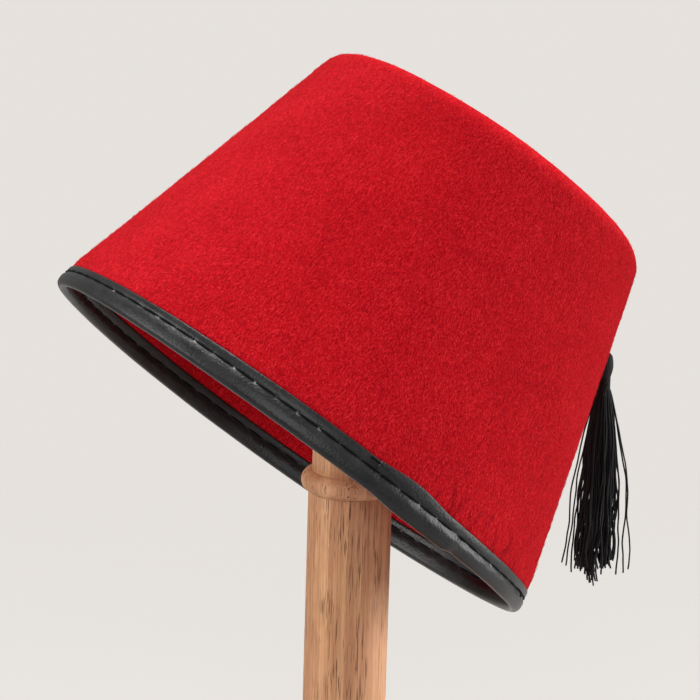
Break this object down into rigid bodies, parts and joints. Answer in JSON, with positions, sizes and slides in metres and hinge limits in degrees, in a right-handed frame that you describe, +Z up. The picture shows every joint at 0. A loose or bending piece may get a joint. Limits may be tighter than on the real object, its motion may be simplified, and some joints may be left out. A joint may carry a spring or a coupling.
{
  "type": "fez hat on a wooden stand",
  "caption": "Tapered red felt fez with a flat top, a bound black rim and a black tassel, leaning on a turned wooden post with a ball end.",
  "frame": {"origin": "centre of the stand's foot, on its underside", "axes": "+Z up along the stand's post, -Y is the front, and +X is to the right of a viewer who looks at the front"},
  "size_m": [0.1988, 0.1876, 0.3445],
  "materials": {
    "red_felt": "dense short-fibre wool felt, matt",
    "black_binding": "thin grained leather strip, satin",
    "black_thread": "twisted rayon thread, slight sheen",
    "turned_wood": "oiled open-pored hardwood"
  },
  "bodies": {
    "root": {"crown": "red_felt", "rim_binding": "black_binding", "tassel_cord": "black_thread", "cord_knot": "black_thread", "tassel_head": "black_thread", "tassel_skirt": "black_thread", "stand_post": "turned_wood", "stand_foot": "turned_wood"}
  },
  "joints": []
}
